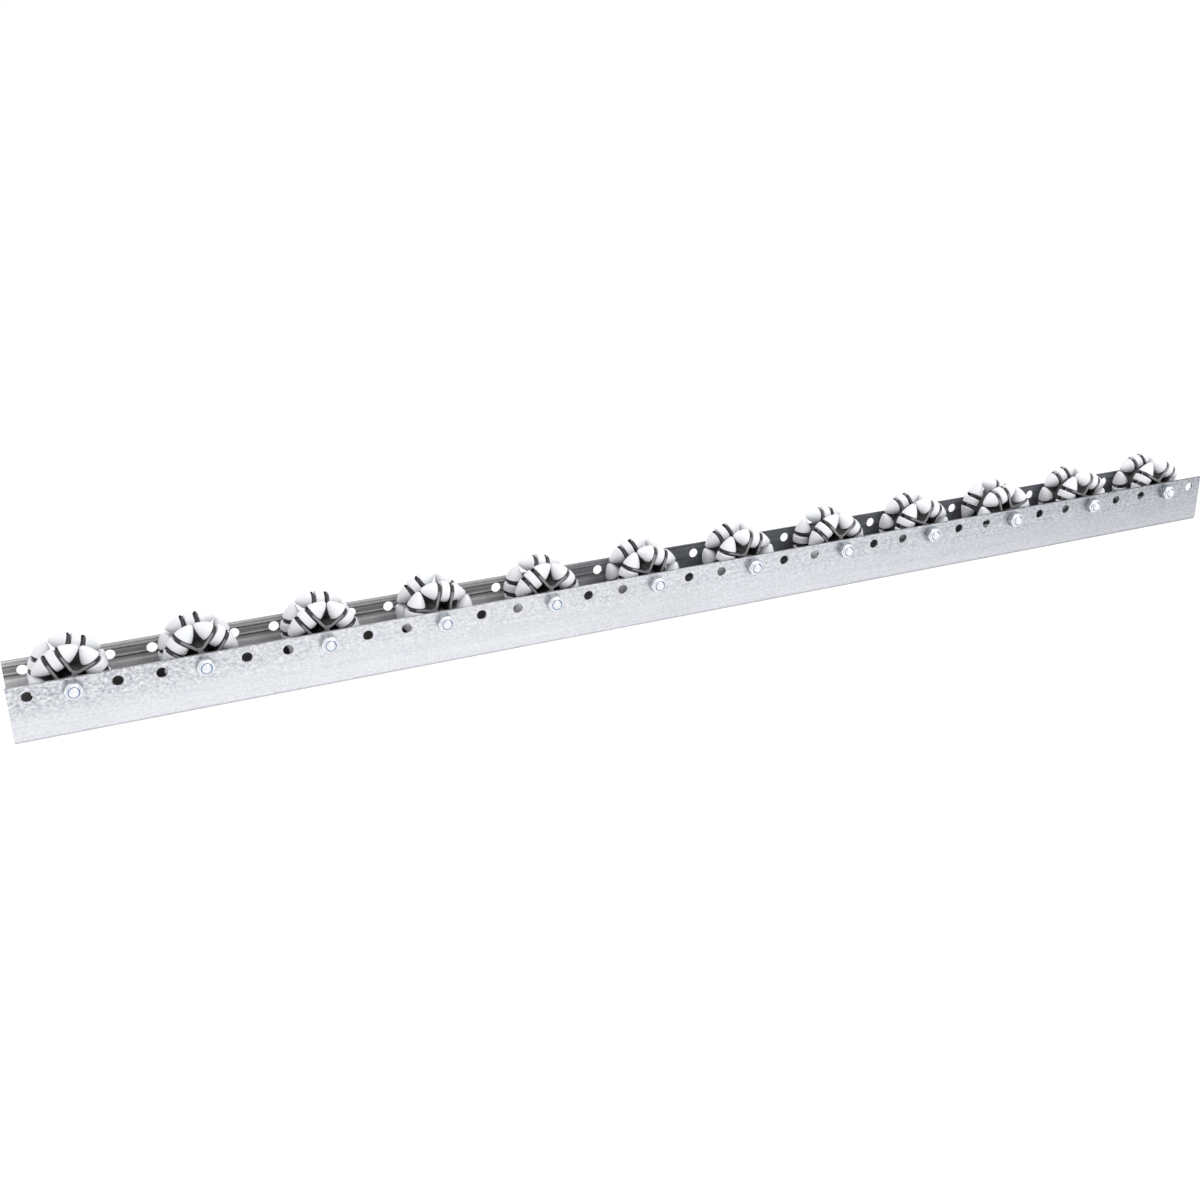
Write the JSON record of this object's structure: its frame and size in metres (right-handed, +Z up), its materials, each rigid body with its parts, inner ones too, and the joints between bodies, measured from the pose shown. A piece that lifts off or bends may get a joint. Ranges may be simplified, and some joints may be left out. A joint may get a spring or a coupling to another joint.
{
  "type": "flow rack roller track",
  "caption": "Folded steel channel with a row of omni-directional roller wheels on bolted axles, open on top, with spare side holes for fixing.",
  "frame": {"origin": "middle of the rail's flat underside", "axes": "+X along the rail, +Y from the nuts to the bolt heads, +Z up, towards the wheels"},
  "size_m": [0.897, 0.054, 0.0518],
  "materials": {
    "galvanised_steel": "galvanised, with a fine spangle",
    "zinc_plate": "bright zinc plate",
    "bright_steel": "drawn tube",
    "black_nylon": "moulded, satin",
    "white_acetal": "moulded, smooth satin",
    "blue_nylon": "matt"
  },
  "bodies": {
    "track": {"rail": "galvanised_steel", "axle_bolts": "zinc_plate", "axle_tubes": "bright_steel", "hub_spacers": "black_nylon", "lock_nuts": "zinc_plate", "lock_nut_inserts": "blue_nylon"},
    "wheel_01": {"wheel_01_hub": "black_nylon"},
    "wheel_02": {"wheel_02_hub": "black_nylon", "wheel_02_rollers": "white_acetal"},
    "wheel_03": {"wheel_03_hub": "black_nylon", "wheel_03_rollers": "white_acetal"},
    "wheel_04": {"wheel_04_hub": "black_nylon", "wheel_04_rollers": "white_acetal"},
    "wheel_05": {"wheel_05_hub": "black_nylon"},
    "wheel_06": {"wheel_06_hub": "black_nylon", "wheel_06_rollers": "white_acetal"},
    "wheel_07": {"wheel_07_hub": "black_nylon", "wheel_07_rollers": "white_acetal"},
    "wheel_08": {"wheel_08_hub": "black_nylon"},
    "wheel_09": {"wheel_09_hub": "black_nylon", "wheel_09_rollers": "white_acetal"},
    "wheel_10": {"wheel_10_hub": "black_nylon", "wheel_10_rollers": "white_acetal"},
    "wheel_11": {"wheel_11_hub": "black_nylon", "wheel_11_rollers": "white_acetal"},
    "wheel_12": {"wheel_12_hub": "black_nylon"},
    "wheel_01_roller_1": {"wheel_01_roller_1": "white_acetal"},
    "wheel_01_roller_2": {"wheel_01_roller_2": "white_acetal"},
    "wheel_01_roller_3": {"wheel_01_roller_3": "white_acetal"},
    "wheel_01_roller_4": {"wheel_01_roller_4": "white_acetal"},
    "wheel_01_roller_5": {"wheel_01_roller_5": "white_acetal"},
    "wheel_01_roller_6": {"wheel_01_roller_6": "white_acetal"},
    "wheel_01_roller_7": {"wheel_01_roller_7": "white_acetal"},
    "wheel_01_roller_8": {"wheel_01_roller_8": "white_acetal"},
    "wheel_05_roller_1": {"wheel_05_roller_1": "white_acetal"},
    "wheel_05_roller_2": {"wheel_05_roller_2": "white_acetal"},
    "wheel_05_roller_3": {"wheel_05_roller_3": "white_acetal"},
    "wheel_05_roller_4": {"wheel_05_roller_4": "white_acetal"},
    "wheel_05_roller_5": {"wheel_05_roller_5": "white_acetal"},
    "wheel_05_roller_6": {"wheel_05_roller_6": "white_acetal"},
    "wheel_05_roller_7": {"wheel_05_roller_7": "white_acetal"},
    "wheel_05_roller_8": {"wheel_05_roller_8": "white_acetal"},
    "wheel_08_roller_1": {"wheel_08_roller_1": "white_acetal"},
    "wheel_08_roller_2": {"wheel_08_roller_2": "white_acetal"},
    "wheel_08_roller_3": {"wheel_08_roller_3": "white_acetal"},
    "wheel_08_roller_4": {"wheel_08_roller_4": "white_acetal"},
    "wheel_08_roller_5": {"wheel_08_roller_5": "white_acetal"},
    "wheel_08_roller_6": {"wheel_08_roller_6": "white_acetal"},
    "wheel_08_roller_7": {"wheel_08_roller_7": "white_acetal"},
    "wheel_08_roller_8": {"wheel_08_roller_8": "white_acetal"},
    "wheel_12_roller_1": {"wheel_12_roller_1": "white_acetal"},
    "wheel_12_roller_2": {"wheel_12_roller_2": "white_acetal"},
    "wheel_12_roller_3": {"wheel_12_roller_3": "white_acetal"},
    "wheel_12_roller_4": {"wheel_12_roller_4": "white_acetal"},
    "wheel_12_roller_5": {"wheel_12_roller_5": "white_acetal"},
    "wheel_12_roller_6": {"wheel_12_roller_6": "white_acetal"},
    "wheel_12_roller_7": {"wheel_12_roller_7": "white_acetal"},
    "wheel_12_roller_8": {"wheel_12_roller_8": "white_acetal"}
  },
  "joints": [
    {"name": "wheel_01_spin", "type": "hinge", "parent": "track", "child": "wheel_01", "pos_m": [-0.4125, 0, 0.0288], "axis": [0, 1, 0], "continuous": true},
    {"name": "wheel_02_spin", "type": "hinge", "parent": "track", "child": "wheel_02", "pos_m": [-0.3375, 0, 0.0288], "axis": [0, 1, 0], "continuous": true},
    {"name": "wheel_03_spin", "type": "hinge", "parent": "track", "child": "wheel_03", "pos_m": [-0.2625, 0, 0.0288], "axis": [0, 1, 0], "continuous": true},
    {"name": "wheel_04_spin", "type": "hinge", "parent": "track", "child": "wheel_04", "pos_m": [-0.1875, 0, 0.0288], "axis": [0, 1, 0], "continuous": true},
    {"name": "wheel_05_spin", "type": "hinge", "parent": "track", "child": "wheel_05", "pos_m": [-0.1125, 0, 0.0288], "axis": [0, 1, 0], "continuous": true},
    {"name": "wheel_06_spin", "type": "hinge", "parent": "track", "child": "wheel_06", "pos_m": [-0.0375, 0, 0.0288], "axis": [0, 1, 0], "continuous": true},
    {"name": "wheel_07_spin", "type": "hinge", "parent": "track", "child": "wheel_07", "pos_m": [0.0375, 0, 0.0288], "axis": [0, 1, 0], "continuous": true},
    {"name": "wheel_08_spin", "type": "hinge", "parent": "track", "child": "wheel_08", "pos_m": [0.1125, 0, 0.0288], "axis": [0, 1, 0], "continuous": true},
    {"name": "wheel_09_spin", "type": "hinge", "parent": "track", "child": "wheel_09", "pos_m": [0.1875, 0, 0.0288], "axis": [0, 1, 0], "continuous": true},
    {"name": "wheel_10_spin", "type": "hinge", "parent": "track", "child": "wheel_10", "pos_m": [0.2625, 0, 0.0288], "axis": [0, 1, 0], "continuous": true},
    {"name": "wheel_11_spin", "type": "hinge", "parent": "track", "child": "wheel_11", "pos_m": [0.3375, 0, 0.0288], "axis": [0, 1, 0], "continuous": true},
    {"name": "wheel_12_spin", "type": "hinge", "parent": "track", "child": "wheel_12", "pos_m": [0.4125, 0, 0.0288], "axis": [0, 1, 0], "continuous": true},
    {"name": "wheel_01_roller_1_spin", "type": "hinge", "parent": "wheel_01", "child": "wheel_01_roller_1", "pos_m": [-0.39768, -0.0098, 0.03571], "axis": [-0.4226, 0, 0.9063], "continuous": true},
    {"name": "wheel_01_roller_2_spin", "type": "hinge", "parent": "wheel_01", "child": "wheel_01_roller_2", "pos_m": [-0.41941, -0.0098, 0.04362], "axis": [-0.9063, 0, -0.4226], "continuous": true},
    {"name": "wheel_01_roller_3_spin", "type": "hinge", "parent": "wheel_01", "child": "wheel_01_roller_3", "pos_m": [-0.42732, -0.0098, 0.02189], "axis": [0.4226, 0, -0.9063], "continuous": true},
    {"name": "wheel_01_roller_4_spin", "type": "hinge", "parent": "wheel_01", "child": "wheel_01_roller_4", "pos_m": [-0.40559, -0.0098, 0.01398], "axis": [0.9063, 0, 0.4226], "continuous": true},
    {"name": "wheel_01_roller_5_spin", "type": "hinge", "parent": "wheel_01", "child": "wheel_01_roller_5", "pos_m": [-0.40691, 0.0098, 0.04416], "axis": [-0.9397, 0, 0.342], "continuous": true},
    {"name": "wheel_01_roller_6_spin", "type": "hinge", "parent": "wheel_01", "child": "wheel_01_roller_6", "pos_m": [-0.42786, 0.0098, 0.03439], "axis": [-0.342, 0, -0.9397], "continuous": true},
    {"name": "wheel_01_roller_7_spin", "type": "hinge", "parent": "wheel_01", "child": "wheel_01_roller_7", "pos_m": [-0.41809, 0.0098, 0.01344], "axis": [0.9397, 0, -0.342], "continuous": true},
    {"name": "wheel_01_roller_8_spin", "type": "hinge", "parent": "wheel_01", "child": "wheel_01_roller_8", "pos_m": [-0.39714, 0.0098, 0.02321], "axis": [0.342, 0, 0.9397], "continuous": true},
    {"name": "wheel_05_roller_1_spin", "type": "hinge", "parent": "wheel_05", "child": "wheel_05_roller_1", "pos_m": [-0.09927, -0.0098, 0.03841], "axis": [-0.5878, 0, 0.809], "continuous": true},
    {"name": "wheel_05_roller_2_spin", "type": "hinge", "parent": "wheel_05", "child": "wheel_05_roller_2", "pos_m": [-0.12211, -0.0098, 0.04203], "axis": [-0.809, 0, -0.5878], "continuous": true},
    {"name": "wheel_05_roller_3_spin", "type": "hinge", "parent": "wheel_05", "child": "wheel_05_roller_3", "pos_m": [-0.12573, -0.0098, 0.01919], "axis": [0.5878, 0, -0.809], "continuous": true},
    {"name": "wheel_05_roller_4_spin", "type": "hinge", "parent": "wheel_05", "child": "wheel_05_roller_4", "pos_m": [-0.10289, -0.0098, 0.01557], "axis": [0.809, 0, 0.5878], "continuous": true},
    {"name": "wheel_05_roller_5_spin", "type": "hinge", "parent": "wheel_05", "child": "wheel_05_roller_5", "pos_m": [-0.10994, 0.0098, 0.04495], "axis": [-0.9877, 0, 0.1564], "continuous": true},
    {"name": "wheel_05_roller_6_spin", "type": "hinge", "parent": "wheel_05", "child": "wheel_05_roller_6", "pos_m": [-0.12865, 0.0098, 0.03136], "axis": [-0.1564, 0, -0.9877], "continuous": true},
    {"name": "wheel_05_roller_7_spin", "type": "hinge", "parent": "wheel_05", "child": "wheel_05_roller_7", "pos_m": [-0.11506, 0.0098, 0.01265], "axis": [0.9877, 0, -0.1564], "continuous": true},
    {"name": "wheel_05_roller_8_spin", "type": "hinge", "parent": "wheel_05", "child": "wheel_05_roller_8", "pos_m": [-0.09635, 0.0098, 0.02624], "axis": [0.1564, 0, 0.9877], "continuous": true},
    {"name": "wheel_08_roller_1_spin", "type": "hinge", "parent": "wheel_08", "child": "wheel_08_roller_1", "pos_m": [0.12484, -0.0098, 0.03953], "axis": [-0.6561, 0, 0.7547], "continuous": true},
    {"name": "wheel_08_roller_2_spin", "type": "hinge", "parent": "wheel_08", "child": "wheel_08_roller_2", "pos_m": [0.10177, -0.0098, 0.04114], "axis": [-0.7547, 0, -0.6561], "continuous": true},
    {"name": "wheel_08_roller_3_spin", "type": "hinge", "parent": "wheel_08", "child": "wheel_08_roller_3", "pos_m": [0.10016, -0.0098, 0.01807], "axis": [0.6561, 0, -0.7547], "continuous": true},
    {"name": "wheel_08_roller_4_spin", "type": "hinge", "parent": "wheel_08", "child": "wheel_08_roller_4", "pos_m": [0.12323, -0.0098, 0.01646], "axis": [0.7547, 0, 0.6561], "continuous": true},
    {"name": "wheel_08_roller_5_spin", "type": "hinge", "parent": "wheel_08", "child": "wheel_08_roller_5", "pos_m": [0.11364, 0.0098, 0.04511], "axis": [-0.9976, 0, 0.0698], "continuous": true},
    {"name": "wheel_08_roller_6_spin", "type": "hinge", "parent": "wheel_08", "child": "wheel_08_roller_6", "pos_m": [0.09619, 0.0098, 0.02994], "axis": [-0.0698, 0, -0.9976], "continuous": true},
    {"name": "wheel_08_roller_7_spin", "type": "hinge", "parent": "wheel_08", "child": "wheel_08_roller_7", "pos_m": [0.11136, 0.0098, 0.01249], "axis": [0.9976, 0, -0.0698], "continuous": true},
    {"name": "wheel_08_roller_8_spin", "type": "hinge", "parent": "wheel_08", "child": "wheel_08_roller_8", "pos_m": [0.12881, 0.0098, 0.02766], "axis": [0.0698, 0, 0.9976], "continuous": true},
    {"name": "wheel_12_roller_1_spin", "type": "hinge", "parent": "wheel_12", "child": "wheel_12_roller_1", "pos_m": [0.42092, -0.0098, 0.04281], "axis": [-0.8572, 0, 0.515], "continuous": true},
    {"name": "wheel_12_roller_2_spin", "type": "hinge", "parent": "wheel_12", "child": "wheel_12_roller_2", "pos_m": [0.39848, -0.0098, 0.03722], "axis": [-0.515, 0, -0.8572], "continuous": true},
    {"name": "wheel_12_roller_3_spin", "type": "hinge", "parent": "wheel_12", "child": "wheel_12_roller_3", "pos_m": [0.40408, -0.0098, 0.01478], "axis": [0.8572, 0, -0.515], "continuous": true},
    {"name": "wheel_12_roller_4_spin", "type": "hinge", "parent": "wheel_12", "child": "wheel_12_roller_4", "pos_m": [0.42651, -0.0098, 0.02038], "axis": [0.515, 0, 0.8572], "continuous": true},
    {"name": "wheel_12_roller_5_spin", "type": "hinge", "parent": "wheel_12", "child": "wheel_12_roller_5", "pos_m": [0.40854, 0.0098, 0.04466], "axis": [-0.9703, 0, -0.2419], "continuous": true},
    {"name": "wheel_12_roller_6_spin", "type": "hinge", "parent": "wheel_12", "child": "wheel_12_roller_6", "pos_m": [0.39664, 0.0098, 0.02484], "axis": [0.2419, 0, -0.9703], "continuous": true},
    {"name": "wheel_12_roller_7_spin", "type": "hinge", "parent": "wheel_12", "child": "wheel_12_roller_7", "pos_m": [0.41646, 0.0098, 0.01294], "axis": [0.9703, 0, 0.2419], "continuous": true},
    {"name": "wheel_12_roller_8_spin", "type": "hinge", "parent": "wheel_12", "child": "wheel_12_roller_8", "pos_m": [0.42836, 0.0098, 0.03275], "axis": [-0.2419, 0, 0.9703], "continuous": true}
  ]
}
